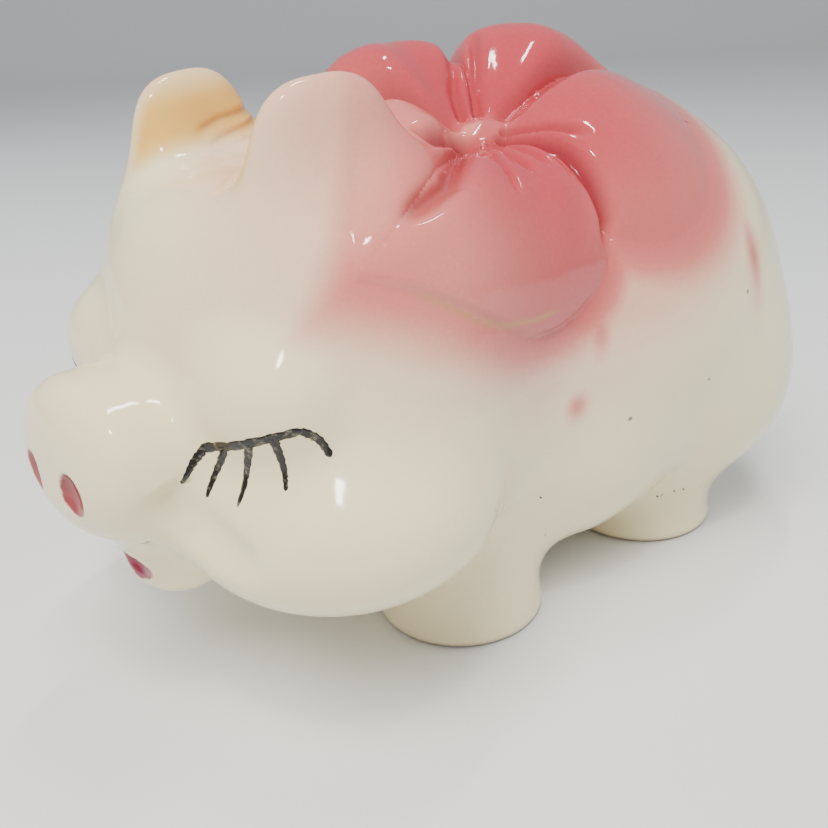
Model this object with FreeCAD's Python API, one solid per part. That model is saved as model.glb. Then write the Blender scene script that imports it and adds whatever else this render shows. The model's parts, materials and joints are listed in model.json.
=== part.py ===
import FreeCAD, Part
import math
import os

# A glazed pottery piggy bank with closed eyes and a five-petalled flower on its shoulder.
# Millimetres, +Z up. The pig faces -Y, its own left side is +X, and it stands on z = 0.
# The origin is the middle of its footprint on the table.

# ---- trunk and head: half sizes and centres of the rounded masses that make the body ----
trunk_half_width = 48.5
trunk_half_length = 56.5
trunk_half_height = 43.7
trunk_y = 24.0
trunk_z = 50.6
trunk_pitch = -5.35

head_half_width = 40.5
head_half_length = 32.5
head_half_height = 42.1
head_y = -32.6
head_z = 53.8

cheek_x = 20.5
cheek_y = -45.0
cheek_z = 36.8
cheek_radii = (25.5, 25.0, 15.6)

eyelid_x = 19.6
eyelid_y = -56.4
eyelid_z = 56.2
eyelid_radii = (12.2, 9.0, 9.6)

muzzle_y = -60.0
muzzle_z = 42.5
muzzle_radii = (17.5, 14.5, 14.5)

chin_y = -62.7
chin_z = 28.5
chin_radius = 9.3

thigh_x = 25.0
thigh_y = 41.0
thigh_z = 33.9
thigh_radius = 24.3

# ---- the crown: low between the ears, rising behind them to the shoulder ----
crown_z = 84.5
crown_rise = 14.0
crown_front_y = -26.0
crown_back_y = -6.0
crown_blend = 8.0

# ---- how softly each mass runs into the next ----
neck_blend = 14.0
cheek_blend = 9.0
face_blend = 7.0

# ---- the casting ----
wall = 4.5
sole_thickness = 5.0
vent_radius = 1.5

# ---- snout ----
snout_half_width = 15.7
snout_half_height = 12.0
snout_half_depth = 6.2
snout_sink = 6.8
snout_rise = 5.0
snout_pitch = 3.4
nostril_x = 6.0
nostril_z = -1.6
nostril_radii = (2.9, 3.6)
nostril_depth = 0.8

# ---- ears: upright paddles, thin from side to side ----
ear_x = 18.6
ear_thickness = 9.0
ear_front_y = -53.0
ear_back_y = -27.5
ear_top_z = 97.2
ear_root_z = 70.0
ear_corner = 7.0
ear_back_slope = 5.0

# ---- legs ----
front_leg_x = 17.8
rear_leg_x = 22.2
leg_to_flange = 1.2
foot_radius = 16.0
ankle_radius = 14.6
ankle_z = 13.0
foot_edge = 2.5
leg_top_below_core = 10.0
leg_top_flare = 2.0
vent_top_below_core = 15.0

# ---- tail ----
tail_z = 67.0
tail_curl_radius = 5.0
tail_thickness_radius = 2.3
tail_sweep = 290.0

# ---- flower on the shoulder ----
flower_x = 13.0
flower_y = -3.0
flower_eye_radius = 5.5
flower_eye_relief = 4.0
petal_names = ("petal_flank", "petal_rear", "petal_crest", "petal_far", "petal_front")
petal_angle = (-32.0, 45.0, 123.0, 184.0, 258.0)
petal_relief = (5.0, 5.2, 7.6, 8.2, 4.6)
petal_half_length = (21.0, 19.0, 19.0, 16.5, 12.5)
petal_half_width = (17.5, 20.0, 16.0, 15.5, 15.5)
petal_start = 3.0

# ---- coin slot and emptying hole ----
largest_coin = 26.0
slot_end_play = 1.5
slot_width = 5.0
slot_x = -24.5
slot_y = 27.0
slot_cut_low = 60.0
slot_cut_high = 120.0
hole_play = 0.5
hole_y = 11.8
flange_overlap = 2.3
flange_thickness = 3.0
flange_gap = 0.3
plug_clearance = 0.05
plug_reach = 3.0
plug_chamfer = 0.8
grip_radius = 9.0
grip_depth = 5.0
grip_bar = 4.0
boss_margin = 3.0

slot_length = largest_coin + 2 * slot_end_play
hole_radius = largest_coin / 2 + hole_play
flange_radius = hole_radius + flange_overlap

# The stopper's flange sits between the four legs, so the legs stand clear of it.
leg_reach = foot_radius + flange_radius + leg_to_flange
front_leg_y = hole_y - math.sqrt(leg_reach ** 2 - front_leg_x ** 2)
rear_leg_y = hole_y + math.sqrt(leg_reach ** 2 - rear_leg_x ** 2)

# The snout stands on the front of the muzzle.
snout_y = muzzle_y - muzzle_radii[1] - snout_half_depth + snout_sink
snout_z = muzzle_z + snout_rise

Vector = FreeCAD.Vector
UP = Vector(0, 0, 1)
SECTION_POINTS = 32
STATIONS = 27
END_SHARE = 0.35
SIDES = (("left", 1), ("right", -1))


# ---- the body as a field: below zero inside, above zero outside, about one per millimetre ----

def ellipsoid_field(point, centre, radii, pitch=0.0):
    x, y, z = (p - c for p, c in zip(point, centre))
    turn = math.radians(pitch)
    y, z = y * math.cos(turn) + z * math.sin(turn), z * math.cos(turn) - y * math.sin(turn)
    k0 = math.sqrt(sum((q / r) ** 2 for q, r in zip((x, y, z), radii)))
    k1 = math.sqrt(sum((q / r ** 2) ** 2 for q, r in zip((x, y, z), radii))) + 1e-9
    return k0 * (k0 - 1) / k1


def soft_union(a, b, blend):
    h = max(blend - abs(a - b), 0) / blend
    return min(a, b) - h * h * blend / 4


def body_field(x, y, z):
    p = (abs(x), y, z)
    trunk_radii = (trunk_half_width, trunk_half_length, trunk_half_height)
    head_radii = (head_half_width, head_half_length, head_half_height)
    trunk = ellipsoid_field(p, (0, trunk_y, trunk_z), trunk_radii, trunk_pitch)
    head = ellipsoid_field(p, (0, head_y, head_z), head_radii)
    value = soft_union(trunk, head, neck_blend)
    thigh = ellipsoid_field(p, (thigh_x, thigh_y, thigh_z), (thigh_radius,) * 3)
    value = soft_union(value, thigh, cheek_blend)
    share = min(max((y - crown_front_y) / (crown_back_y - crown_front_y), 0), 1)
    crown = crown_z + crown_rise * share * share * (3 - 2 * share)
    value = -soft_union(-value, crown - z, crown_blend)
    cheek = ellipsoid_field(p, (cheek_x, cheek_y, cheek_z), cheek_radii)
    value = soft_union(value, cheek, cheek_blend)
    muzzle = ellipsoid_field(p, (0, muzzle_y, muzzle_z), muzzle_radii)
    value = soft_union(value, muzzle, face_blend)
    chin = ellipsoid_field(p, (0, chin_y, chin_z), (chin_radius,) * 3)
    value = soft_union(value, chin, face_blend)
    lid = ellipsoid_field(p, (eyelid_x, eyelid_y, eyelid_z), eyelid_radii)
    return soft_union(value, lid, face_blend)


def body_normal(p):
    step = 0.2
    dx = body_field(p.x + step, p.y, p.z) - body_field(p.x - step, p.y, p.z)
    dy = body_field(p.x, p.y + step, p.z) - body_field(p.x, p.y - step, p.z)
    dz = body_field(p.x, p.y, p.z + step) - body_field(p.x, p.y, p.z - step)
    return Vector(dx, dy, dz).normalize()


def surface_from(start, direction, level=0.0):
    """The outermost point along a line from a point inside where the field reaches the level."""
    def inside(t):
        p = start + direction * t
        return body_field(p.x, p.y, p.z) < level

    far = 110.0
    while far > 0 and not inside(far):
        far -= 1.5
    low, high = far, far + 1.5
    for _ in range(30):
        middle = (low + high) / 2
        if inside(middle):
            low = middle
        else:
            high = middle
    return start + direction * low


# ---- building blocks ----

def closed_curve(points):
    curve = Part.BSplineCurve()
    curve.interpolate(Points=points, PeriodicFlag=True)
    return Part.Wire([curve.toShape()])


def body_solid(level):
    """Loft through cross-sections of the body where the field has the given level."""
    core = Vector(0, trunk_y, trunk_z)
    back = surface_from(core, Vector(0, 1, 0), level).y
    front = surface_from(Vector(0, muzzle_y, muzzle_z), Vector(0, -1, 0), level).y
    wires = []
    for i in range(STATIONS):
        share = 0.5 - 0.5 * math.cos(math.pi * (i + END_SHARE) / (STATIONS - 1 + 2 * END_SHARE))
        y = front + (back - front) * share
        mix = min(max((y - muzzle_y) / (trunk_y - muzzle_y), 0), 1)
        middle = Vector(0, y, muzzle_z + (trunk_z - 1.5 - muzzle_z) * mix)
        ring = []
        for j in range(SECTION_POINTS):
            turn = 2 * math.pi * j / SECTION_POINTS - math.pi / 2
            ring.append(surface_from(middle, Vector(math.cos(turn), 0, math.sin(turn)), level))
        wires.append(closed_curve(ring))
    return Part.makeLoft(wires, True, False)


def turned_ellipsoid(centre, along, across, normal, radii):
    """An ellipsoid with its three radii along three given directions."""
    a, b, c = (v * r for v, r in zip((along, across, normal), radii))
    matrix = FreeCAD.Matrix(a.x, b.x, c.x, centre.x, a.y, b.y, c.y, centre.y, a.z, b.z, c.z, centre.z, 0, 0, 0, 1)
    return Part.makeSphere(1.0).transformGeometry(matrix)


def disc(radius, bottom, top, x=0.0, y=0.0):
    return Part.makeCylinder(radius, top - bottom, Vector(x, y, bottom))


def main_solid(shape):
    """The shape's largest solid: a cut can leave crumbs where two rounded faces graze."""
    return max(shape.Solids, key=lambda solid: solid.Volume)


# ---- the pieces ----

def belly_levels():
    belly_z = surface_from(Vector(0, hole_y, trunk_z), -UP).z
    seat_z = belly_z + flange_thickness + flange_gap
    return seat_z, seat_z + wall


def coin_slot():
    half = (slot_length - slot_width) / 2
    corner = Vector(slot_x - slot_width / 2, slot_y - half, slot_cut_low)
    bar = Part.makeBox(slot_width, 2 * half, slot_cut_high - slot_cut_low, corner)
    front_end = disc(slot_width / 2, slot_cut_low, slot_cut_high, slot_x, slot_y - half)
    back_end = disc(slot_width / 2, slot_cut_low, slot_cut_high, slot_x, slot_y + half)
    return bar.fuse(front_end).fuse(back_end)


def make_body_shell(outer):
    seat_z, boss_top = belly_levels()
    boss = disc(flange_radius + boss_margin, 0, boss_top, 0, hole_y).common(outer)
    shell = outer.cut(body_solid(-wall)).fuse(boss)
    shell = shell.cut(disc(flange_radius + 2 * flange_gap, -1, seat_z, 0, hole_y))
    shell = shell.cut(disc(hole_radius, -1, boss_top + plug_reach + 1, 0, hole_y))
    shell = shell.cut(coin_slot())
    for _, side in SIDES:
        for x, y in ((front_leg_x, front_leg_y), (rear_leg_x, rear_leg_y)):
            shell = shell.cut(disc(vent_radius, 0, trunk_z - vent_top_below_core, side * x, y))
    return main_solid(shell)


def make_leg(outer, x, y):
    top = trunk_z - leg_top_below_core
    profile = Part.BSplineCurve()
    profile.interpolate([Vector(foot_radius, 0, foot_edge), Vector(ankle_radius, 0, ankle_z),
                         Vector(ankle_radius + leg_top_flare, 0, top)])
    corner = Part.Arc(Vector(foot_radius - foot_edge, 0, 0),
                      Vector(foot_radius - foot_edge * (1 - math.sqrt(0.5)), 0, foot_edge * (1 - math.sqrt(0.5))),
                      Vector(foot_radius, 0, foot_edge))
    sole = Part.LineSegment(Vector(0, 0, 0), Vector(foot_radius - foot_edge, 0, 0))
    lid = Part.LineSegment(Vector(ankle_radius + leg_top_flare, 0, top), Vector(0, 0, top))
    axis = Part.LineSegment(Vector(0, 0, top), Vector(0, 0, 0))
    outline = Part.Wire([edge.toShape() for edge in (sole, corner, profile, lid, axis)])
    column = Part.Face(outline).revolve(Vector(0, 0, 0), UP, 360)
    column = column.cut(disc(ankle_radius - wall, sole_thickness, top + 1))
    column.translate(Vector(x, y, 0))
    return main_solid(column.cut(outer))


def make_snout_disc(outer):
    wires = []
    steps = 9
    for i in range(steps):
        along = -1 + 2 * (i + 0.08) / (steps - 1 + 0.16)
        size = (1 - abs(along) ** 2.6) ** 0.42
        ring = Part.Ellipse(Vector(0, 0, 0), snout_half_width * size, snout_half_height * size)
        wire = Part.Wire([ring.toShape()])
        wire.rotate(Vector(0, 0, 0), Vector(1, 0, 0), 90)
        wire.translate(Vector(0, -along * snout_half_depth, 0))
        wires.append(wire)
    shape = Part.makeLoft(wires, True, False)
    neck = Part.makeCylinder(snout_half_height - 1.5, wall + 6, Vector(0, 0, 0), Vector(0, 1, 0))
    shape = shape.fuse(neck)
    for side in (1, -1):
        pit = Part.makeSphere(1.0)
        matrix = FreeCAD.Matrix()
        matrix.scale(nostril_radii[0], nostril_depth * 2.5, nostril_radii[1])
        pit = pit.transformGeometry(matrix)
        pit.translate(Vector(side * nostril_x, -snout_half_depth - nostril_depth, nostril_z))
        shape = shape.cut(pit)
    shape.rotate(Vector(0, 0, 0), Vector(1, 0, 0), snout_pitch)
    shape.translate(Vector(0, snout_y, snout_z))
    return main_solid(shape.cut(outer))


def make_ear(outer, side):
    """A pillow-shaped paddle: the same outline lofted from side to side, smaller at both faces."""
    middle = Vector(0, (ear_front_y + ear_back_y) / 2, (ear_root_z + ear_top_z) / 2)
    outline = [
        Vector(0, ear_front_y, ear_root_z), Vector(0, ear_front_y - 0.4, ear_top_z - 2 * ear_corner),
        Vector(0, ear_front_y + ear_corner * 0.5, ear_top_z - ear_corner * 0.4),
        Vector(0, middle.y - 1, ear_top_z), Vector(0, ear_back_y - ear_corner, ear_top_z - ear_corner * 0.3),
        Vector(0, ear_back_y - ear_back_slope * 0.2, ear_top_z - ear_corner * 1.2),
        Vector(0, ear_back_y + ear_back_slope * 0.4, ear_root_z), Vector(0, middle.y, ear_root_z - ear_corner)]
    wires = []
    for share in (-1, -0.85, -0.5, 0, 0.5, 0.85, 1):
        size = 0.62 + 0.38 * math.sqrt(1 - 0.96 * share * share)
        x = side * ear_x + share * ear_thickness / 2
        wires.append(closed_curve([Vector(x, 0, 0) + middle + (p - middle) * size for p in outline]))
    return main_solid(Part.makeLoft(wires, True, False).cut(outer))


def make_tail(outer):
    root = surface_from(Vector(0, trunk_y, tail_z), Vector(0, 1, 0))
    curl = Part.makeTorus(tail_curl_radius, tail_thickness_radius, Vector(0, 0, 0), UP, -180, 180, tail_sweep)
    tip = Part.makeSphere(tail_thickness_radius, Vector(tail_curl_radius, 0, 0))
    shape = curl.fuse(tip)
    shape.Placement = FreeCAD.Placement(root, FreeCAD.Rotation(UP, body_normal(root)))
    return main_solid(shape.cut(outer))


def walk_on_body(start, angle, distance):
    """Walk over the body from a point, starting at a plan angle. Gives the end and the last direction."""
    point = start
    heading = Vector(math.cos(math.radians(angle)), math.sin(math.radians(angle)), 0)
    step = 0.5
    for _ in range(int(round(distance / step))):
        normal = body_normal(point)
        heading = (heading - normal * heading.dot(normal)).normalize()
        point = point + heading * step
        point = point - body_normal(point) * body_field(point.x, point.y, point.z)
    return point, heading


def make_flower(outer, ears):
    """The eye of the flower and its petals. Each piece stops where the ones before it begin."""
    centre = surface_from(Vector(flower_x, flower_y, trunk_z), UP)
    start_normal = body_normal(centre)
    across = UP.cross(start_normal).normalize()
    eye_radii = (flower_eye_radius, flower_eye_radius, flower_eye_relief)
    eye = turned_ellipsoid(centre, start_normal.cross(across), across, start_normal, eye_radii)
    pieces = {"flower_eye": main_solid(eye.cut(outer))}
    taken = [eye] + ears
    for i, name in enumerate(petal_names):
        angle = petal_angle[i]
        reach = petal_start + petal_half_length[i]
        point, heading = walk_on_body(centre, angle, reach)
        normal = body_normal(point)
        heading = (heading - normal * heading.dot(normal)).normalize()
        radii = (petal_half_length[i], petal_half_width[i], petal_relief[i])
        petal = turned_ellipsoid(point, heading, normal.cross(heading), normal, radii)
        shape = petal.cut(outer)
        for other in taken:
            shape = shape.cut(other)
        pieces[name] = main_solid(shape)
        taken.append(petal)
    return pieces


def make_stopper():
    seat_z, boss_top = belly_levels()
    flange_top = seat_z - flange_gap
    bottom = flange_top - flange_thickness
    plug = disc(hole_radius - plug_clearance, flange_top - 0.5, boss_top + plug_reach, 0, hole_y)
    plug = plug.makeChamfer(plug_chamfer, [edge for edge in plug.Edges if edge.BoundBox.ZMin > boss_top])
    body = disc(flange_radius, bottom, flange_top, 0, hole_y).fuse(plug)
    grip = disc(grip_radius, bottom - 1, bottom + grip_depth, 0, hole_y)
    corner = Vector(-grip_radius - 1, hole_y - grip_bar / 2, bottom - 1)
    bar = Part.makeBox(2 * grip_radius + 2, grip_bar, grip_depth + 2, corner)
    return main_solid(body.cut(grip.cut(bar)))


def build():
    outer = body_solid(0.0)
    pieces = {"body_shell": make_body_shell(outer), "snout_disc": make_snout_disc(outer)}
    for name, side in SIDES:
        pieces[name + "_ear"] = make_ear(outer, side)
        pieces["front_" + name + "_leg"] = make_leg(outer, side * front_leg_x, front_leg_y)
        pieces["rear_" + name + "_leg"] = make_leg(outer, side * rear_leg_x, rear_leg_y)
    pieces["tail"] = make_tail(outer)
    pieces.update(make_flower(outer, [pieces["left_ear"], pieces["right_ear"]]))
    pieces["stopper"] = make_stopper()
    return pieces


os.makedirs("parts", exist_ok=True)
for node, shape in build().items():
    shape.exportStep("parts/" + node + ".step")
    box = shape.BoundBox
    print("%-18s %9.1f mm3  solids %d valid %s  x %.1f..%.1f y %.1f..%.1f z %.1f..%.1f" % (
        node, shape.Volume, len(shape.Solids), shape.isValid(),
        box.XMin, box.XMax, box.YMin, box.YMax, box.ZMin, box.ZMax))
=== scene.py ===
"""The looks of a glazed pottery piggy bank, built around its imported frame."""

import json
import math

import bpy
import numpy as np
from mathutils import Matrix, Vector


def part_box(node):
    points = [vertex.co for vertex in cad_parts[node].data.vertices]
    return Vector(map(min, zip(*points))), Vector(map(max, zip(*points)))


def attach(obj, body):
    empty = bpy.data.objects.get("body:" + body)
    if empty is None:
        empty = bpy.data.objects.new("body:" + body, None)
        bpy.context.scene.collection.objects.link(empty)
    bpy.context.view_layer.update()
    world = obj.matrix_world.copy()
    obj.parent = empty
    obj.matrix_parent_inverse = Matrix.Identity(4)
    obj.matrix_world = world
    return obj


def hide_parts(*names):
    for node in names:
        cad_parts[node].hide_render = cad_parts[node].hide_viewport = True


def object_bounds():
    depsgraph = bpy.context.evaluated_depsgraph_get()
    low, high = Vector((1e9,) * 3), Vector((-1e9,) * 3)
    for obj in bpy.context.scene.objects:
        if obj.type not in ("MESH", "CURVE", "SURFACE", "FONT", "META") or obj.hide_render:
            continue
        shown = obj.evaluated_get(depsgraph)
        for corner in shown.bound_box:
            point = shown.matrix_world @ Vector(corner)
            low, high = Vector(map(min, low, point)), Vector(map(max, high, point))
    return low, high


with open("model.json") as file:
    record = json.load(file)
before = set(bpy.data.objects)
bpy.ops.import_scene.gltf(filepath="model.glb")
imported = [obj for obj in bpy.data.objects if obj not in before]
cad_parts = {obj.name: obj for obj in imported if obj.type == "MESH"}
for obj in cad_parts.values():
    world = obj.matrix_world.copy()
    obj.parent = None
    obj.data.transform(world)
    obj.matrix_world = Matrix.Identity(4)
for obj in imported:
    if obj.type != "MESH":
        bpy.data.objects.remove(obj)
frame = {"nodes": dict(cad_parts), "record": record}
CAD_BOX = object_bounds()

bl_info = {
    "name": "Flower-backed piggy bank",
    "version": (1, 0, 0),
    "blender": (4, 5, 0),
    "location": "View3D > Sidebar > Piggy Bank",
    "description": "Casts, paints and glazes a pottery piggy bank around its frame",
    "category": "Object",
}

# Everything below works in millimetres in the frame of the part: the pig faces -Y, its left is +X.
MM = 0.001
AIR, SHELL = 0, 1
SIDES = (("left", 1), ("right", -1))


def node_box(name):
    """A frame node's lowest and highest corners, in millimetres."""
    low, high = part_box(name)
    return np.array(low) / MM, np.array(high) / MM


def middle_of(name):
    low, high = node_box(name)
    return (low + high) / 2


def half_of(name):
    low, high = node_box(name)
    return (high - low) / 2


# ------------------------------------------------------------------ sizes and colours a user can set

def size_prop(name, description, value):
    return bpy.props.FloatProperty(name=name, description=description, default=value, min=0.0)


def colour_prop(name, description, value):
    return bpy.props.FloatVectorProperty(
        name=name, description=description, default=value, subtype="COLOR", size=3, min=0.0, max=1.0)


class PigForm(bpy.types.PropertyGroup):
    mesh_step: size_prop("Mesh step", "Size of the mesh cells, in millimetres", 0.95)
    wall: size_prop("Wall", "Thickness of the cast wall, in millimetres", 4.5)
    neck_blend: size_prop("Neck blend", "How softly head and trunk run together, in millimetres", 14.0)
    face_blend: size_prop("Face blend", "How softly the masses of the face run together, in millimetres", 7.0)
    leg_blend: size_prop("Leg blend", "Width of the fillet where a leg meets the belly, in millimetres", 9.0)
    ear_blend: size_prop("Ear blend", "Width of the fillet at an ear's root, in millimetres", 8.0)
    petal_edge: size_prop("Petal edge", "Step down from a petal's rim to the body, in millimetres", 1.0)
    smile_depth: size_prop("Smile depth", "Depth of the crease round the muzzle, in millimetres", 3.3)
    crease_depth: size_prop("Crease depth", "Depth of the folds between petals, in millimetres", 1.9)
    lash_width: size_prop("Lash width", "Width of the brushed lash line, in millimetres", 1.5)


class PigPaint(bpy.types.PropertyGroup):
    ivory: colour_prop("Ivory", "Clear glaze over the cream body", (0.880, 0.775, 0.490))
    coral: colour_prop("Coral", "Airbrushed flower colour at full strength", (0.470, 0.045, 0.062))
    salmon: colour_prop("Salmon", "Airbrushed flower colour at half strength", (0.660, 0.190, 0.160))
    blush: colour_prop("Blush", "Airbrushed flower colour where it fades out", (0.820, 0.480, 0.340))
    # Painted shade: the wine colour darkens the flower's folds where shade falls.
    wine_fold_shade: colour_prop("Wine", "Colour pooled in the folds of the flower", (0.260, 0.012, 0.022))
    amber: colour_prop("Amber", "Yellow sprayed inside the ears", (0.760, 0.440, 0.080))
    # Tan is the real brown line along the petals' rims and also painted shade in the folds of the ears.
    tan: colour_prop("Tan", "Colour pooled in the folds of the ears", (0.470, 0.270, 0.100))
    lash_black: colour_prop("Lash black", "Brushed underglaze black", (0.012, 0.010, 0.008))
    nostril_rose: colour_prop("Nostril rose", "Brushed rose in the nostrils", (0.300, 0.055, 0.060))
    mouth_red: colour_prop("Mouth red", "Brushed red in the mouth", (0.330, 0.020, 0.060))
    bisque: colour_prop("Bisque", "Bare clay on the foot rims", (0.520, 0.395, 0.270))


class PigStudio(bpy.types.PropertyGroup):
    floor_colour: colour_prop("Floor", "Colour of the floor and backdrop", (0.780, 0.790, 0.800))
    key_power: size_prop("Key power", "Power of the large softbox, in watts", 9.5)
    fill_power: size_prop("Fill power", "Power of the fill light, in watts", 2.0)
    glint_power: size_prop("Glint power", "Power of the small bright strips, in watts", 1.2)
    world_strength: size_prop("Surround", "Strength of the even light all round", 0.52)


# ------------------------------------------------------------------ distance fields
# A point is a tuple of three arrays. A field is below zero inside and grows about one per millimetre.

def ellipsoid(p, centre, radii, pitch=0.0, yaw=0.0, roll=0.0):
    q = turned(p, centre, pitch, yaw, roll)
    k0 = np.sqrt(sum((a / r) ** 2 for a, r in zip(q, radii))) + 1e-9
    k1 = np.sqrt(sum((a / r ** 2) ** 2 for a, r in zip(q, radii))) + 1e-9
    return k0 * (k0 - 1) / k1


def turned(p, centre, pitch=0.0, yaw=0.0, roll=0.0):
    """The point as seen from a frame at centre, turned about Z (yaw), then Y (roll), then X (pitch)."""
    x, y, z = (a - c for a, c in zip(p, centre))
    if yaw:
        c, s = math.cos(math.radians(yaw)), math.sin(math.radians(yaw))
        x, y = x * c + y * s, y * c - x * s
    if roll:
        c, s = math.cos(math.radians(roll)), math.sin(math.radians(roll))
        x, z = x * c - z * s, z * c + x * s
    if pitch:
        c, s = math.cos(math.radians(pitch)), math.sin(math.radians(pitch))
        y, z = y * c + z * s, z * c - y * s
    return x, y, z


def pillow(q, thin, wide, tall, squareness=2.7):
    """A cushion-shaped paddle, thin along the first axis, with a rounded-square outline."""
    x, y, z = q
    g = (np.abs(y / wide) ** squareness + np.abs(z / tall) ** squareness + 1e-12) ** (1 / squareness)
    h = np.sqrt((x / thin) ** 2 + g ** 2) + 1e-9
    gy = g ** (1 - squareness) * np.abs(y / wide) ** (squareness - 1) / wide
    gz = g ** (1 - squareness) * np.abs(z / tall) ** (squareness - 1) / tall
    slope = np.sqrt((x / thin ** 2) ** 2 + (g * gy) ** 2 + (g * gz) ** 2) / h + 1e-9
    return (h - 1) / slope


def smooth_min(a, b, k):
    h = np.clip(k - np.abs(a - b), 0, None) / k
    return np.minimum(a, b) - h * h * k / 4


def smooth_max(a, b, k):
    return -smooth_min(-a, -b, k)


def smoothstep(low, high, value):
    t = np.clip((value - low) / (high - low), 0, 1)
    return t * t * (3 - 2 * t)


def path_distance(p, points):
    """Distance to a chain of straight runs, and how far along the chain the nearest point is, 0 to 1."""
    best = np.full(np.shape(p[0]), 1e9)
    along = np.zeros(np.shape(p[0]))
    runs = len(points) - 1
    for i in range(runs):
        a = np.array(points[i], float)
        d = np.array(points[i + 1], float) - a
        t = np.clip(sum((q - c) * e for q, c, e in zip(p, a, d)) / (d @ d), 0, 1)
        gap = np.sqrt(sum((q - c - t * e) ** 2 for q, c, e in zip(p, a, d)))
        nearer = gap < best
        best = np.where(nearer, gap, best)
        along = np.where(nearer, (i + t) / runs, along)
    return best, along


# ------------------------------------------------------------------ the body

SHELL_HALF = half_of("body_shell")
TRUNK = ((0, 24.0, 50.6), (48.5, 56.5, 43.7), -5.35)
HEAD = ((0, -32.6, 53.8), (40.5, 32.5, 42.1))
CHEEK = ((20.5, -45.0, 36.8), (25.5, 25.0, 15.6))
EYELID = ((19.6, -56.4, 56.2), (12.2, 9.0, 9.6))
MUZZLE = ((0, -60.0, 42.5), (17.5, 14.5, 14.5))
CHIN = ((0, -62.7, 28.5), (9.3, 9.3, 9.3))
THIGH = ((25.0, 41.0, 33.9), (24.3, 24.3, 24.3))
FLANK = ((20.0, 7.0, 29.5), (21.5, 24.0, 21.0))
SMILE = ((16.3, -73.5, 46.8), (16.7, -72.6, 44.6), (19.6, -69.8, 40.4), (26.3, -68.7, 38.4), (33.4, -66.2, 37.3))
# The crown of the head is flat and low between the ears, and rises behind them to the shoulder.
CROWN_Z, CROWN_RISE = 84.5, 14.0
CROWN_BACK = (-26.0, -6.0)

SNOUT = (0, middle_of("snout_disc")[1] - 1.0, middle_of("snout_disc")[2])
SNOUT_HALF = (half_of("snout_disc")[0], 7.4, half_of("snout_disc")[2])
SNOUT_PITCH = 3.4
NOSTRIL = ((6.0, -80.8, 45.0), (2.5, 1.2, 3.1))
MOUTH = ((0, -72.0, 26.6), (4.4, 2.2, 2.2))

FRONT_LEG = middle_of("front_left_leg")
REAR_LEG = middle_of("rear_left_leg")
FOOT_RADIUS = half_of("front_left_leg")[0]
ANKLE_RADIUS = FOOT_RADIUS - 1.4
ANKLE_Z = 13.0

EAR_LOW, EAR_HIGH = node_box("left_ear")
EAR_CENTRE = (17.2, -38.8, EAR_HIGH[2] - 19.4)
EAR_HALF = (5.4, 12.4, 20.0)
EAR_FLARE = 2.0
EAR_TILT = 5.0
EAR_YAW = -8.0
# Folds in the inner face of an ear, drawn in the plane x = 0.
EAR_FOLDS = (((0, -43.0, 88.0), (0, -37.0, 89.8), (0, -29.0, 90.6)),
             ((0, -42.0, 85.6), (0, -36.5, 87.2), (0, -29.0, 88.6)),
             ((0, -44.5, 83.2), (0, -38.0, 85.6), (0, -29.0, 86.6)),
             ((0, -45.5, 81.4), (0, -39.0, 82.0), (0, -30.0, 83.6)))

TAIL = middle_of("tail")
PLUG_LOW, PLUG_HIGH = node_box("stopper")
HOLE_Y = middle_of("stopper")[1]
HOLE_RADIUS = 13.5
SEAT_RADIUS = half_of("stopper")[0] + 0.6
SEAT_Z = PLUG_LOW[2] + 3.3
SLOT_X, SLOT_Y = -24.5, 27.0
SLOT_HALF_WIDTH, SLOT_HALF_LENGTH = 2.5, 14.5


def mirrored(p):
    return np.abs(p[0]), p[1], p[2]


def bare_body(p):
    """Head, trunk and face with no ears, legs, snout or flower."""
    form = bpy.context.scene.pig_form
    q = mirrored(p)
    body = smooth_min(ellipsoid(q, *TRUNK), ellipsoid(q, *HEAD), form.neck_blend)
    body = smooth_min(body, ellipsoid(q, *THIGH), 9.0)
    body = smooth_min(body, ellipsoid(q, *FLANK), 9.0)
    crown = CROWN_Z + CROWN_RISE * smoothstep(*CROWN_BACK, p[1])
    body = smooth_max(body, (p[2] - crown) / 1.2, 8.0)
    body = smooth_min(body, ellipsoid(q, *CHEEK), 8.0)
    body = smooth_min(body, ellipsoid(q, *EYELID), 5.0)
    body = smooth_min(body, ellipsoid(q, *MUZZLE), form.face_blend)
    body = smooth_min(body, ellipsoid(q, *CHIN), 5.0)
    gap, along = path_distance(q, SMILE)
    fade = smoothstep(0, 0.3, along) * (1 - smoothstep(0.7, 1, along))
    return body + form.smile_depth * np.exp(-(gap / 3.0) ** 2) * fade


def snout(p):
    q = turned(p, SNOUT, pitch=-SNOUT_PITCH)
    x, y, z = q
    ring = np.sqrt((x / SNOUT_HALF[0]) ** 2 + (z / SNOUT_HALF[2]) ** 2)
    h = (ring ** 2.5 + np.abs(y / SNOUT_HALF[1]) ** 2.5 + 1e-12) ** (1 / 2.5)
    body = (h - 1) * 9.0
    return body


def legs(p):
    q = mirrored(p)
    best = None
    for centre in (FRONT_LEG, REAR_LEG):
        reach = np.hypot(q[0] - centre[0], q[1] - centre[1])
        flare = ((q[2] - ANKLE_Z) / ANKLE_Z) ** 2
        radius = ANKLE_RADIUS + (FOOT_RADIUS - ANKLE_RADIUS) * np.minimum(flare, 2.0)
        column = smooth_max(reach - radius, q[2] - 40.0, 4.0)
        best = column if best is None else np.minimum(best, column)
    return best


def ear_frame(p):
    """A point as seen from the middle of the nearer ear: first coordinate outwards, third up the ear."""
    return turned(mirrored(p), EAR_CENTRE, pitch=EAR_TILT, yaw=EAR_YAW, roll=EAR_FLARE)


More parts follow.
